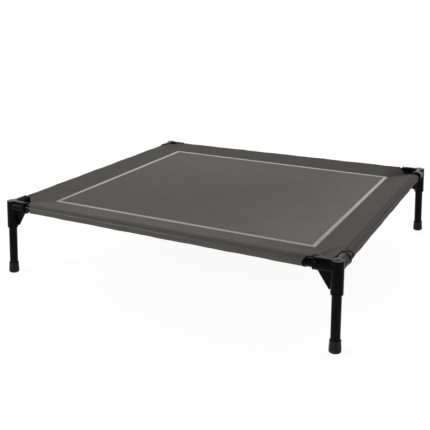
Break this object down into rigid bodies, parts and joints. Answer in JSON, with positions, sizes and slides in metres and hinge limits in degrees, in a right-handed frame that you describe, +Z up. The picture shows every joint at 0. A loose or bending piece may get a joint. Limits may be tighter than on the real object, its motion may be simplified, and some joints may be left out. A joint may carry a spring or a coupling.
{
  "type": "raised dog bed",
  "caption": "Raised dog bed: a flat mesh panel in a folded fabric border, stretched over a black steel tube frame with moulded corner connectors and short pull-out legs.",
  "frame": {"origin": "on the floor under the middle of the bed", "axes": "+X along the long side, +Y along the short side, +Z up"},
  "size_m": [0.9174, 0.8296, 0.1974],
  "materials": {
    "moulded_plastic": "black moulded nylon, satin",
    "coated_steel": "black powder coat, satin",
    "foot_rubber": "black rubber, matte",
    "border_fabric": "warm grey coated canvas weave",
    "mesh_fabric": "warm grey woven mesh",
    "binding_tape": "light grey woven binding tape"
  },
  "bodies": {
    "bed_frame": {"connector_front_left": "moulded_plastic", "connector_front_right": "moulded_plastic", "connector_back_left": "moulded_plastic", "connector_back_right": "moulded_plastic", "rail_front": "coated_steel", "rail_back": "coated_steel", "rail_left": "coated_steel", "rail_right": "coated_steel", "border_front": "border_fabric", "border_back": "border_fabric", "border_left": "border_fabric", "border_right": "border_fabric", "tape_front": "binding_tape", "tape_back": "binding_tape", "tape_left": "binding_tape", "tape_right": "binding_tape", "mesh_panel": "mesh_fabric"},
    "leg_front_left": {"leg_front_left": "coated_steel", "foot_front_left": "foot_rubber"},
    "leg_front_right": {"leg_front_right": "coated_steel", "foot_front_right": "foot_rubber"},
    "leg_back_left": {"leg_back_left": "coated_steel", "foot_back_left": "foot_rubber"},
    "leg_back_right": {"leg_back_right": "coated_steel", "foot_back_right": "foot_rubber"}
  },
  "joints": [
    {"name": "leg_front_left_pull", "type": "slide", "parent": "bed_frame", "child": "leg_front_left", "axis": [-0.0436, -0.0755, -0.9962], "range_m": [0, 0.07]},
    {"name": "leg_front_right_pull", "type": "slide", "parent": "bed_frame", "child": "leg_front_right", "axis": [0.0436, -0.0755, -0.9962], "range_m": [0, 0.07]},
    {"name": "leg_back_left_pull", "type": "slide", "parent": "bed_frame", "child": "leg_back_left", "axis": [-0.0436, 0.0755, -0.9962], "range_m": [0, 0.07]},
    {"name": "leg_back_right_pull", "type": "slide", "parent": "bed_frame", "child": "leg_back_right", "axis": [0.0436, 0.0755, -0.9962], "range_m": [0, 0.07]}
  ]
}
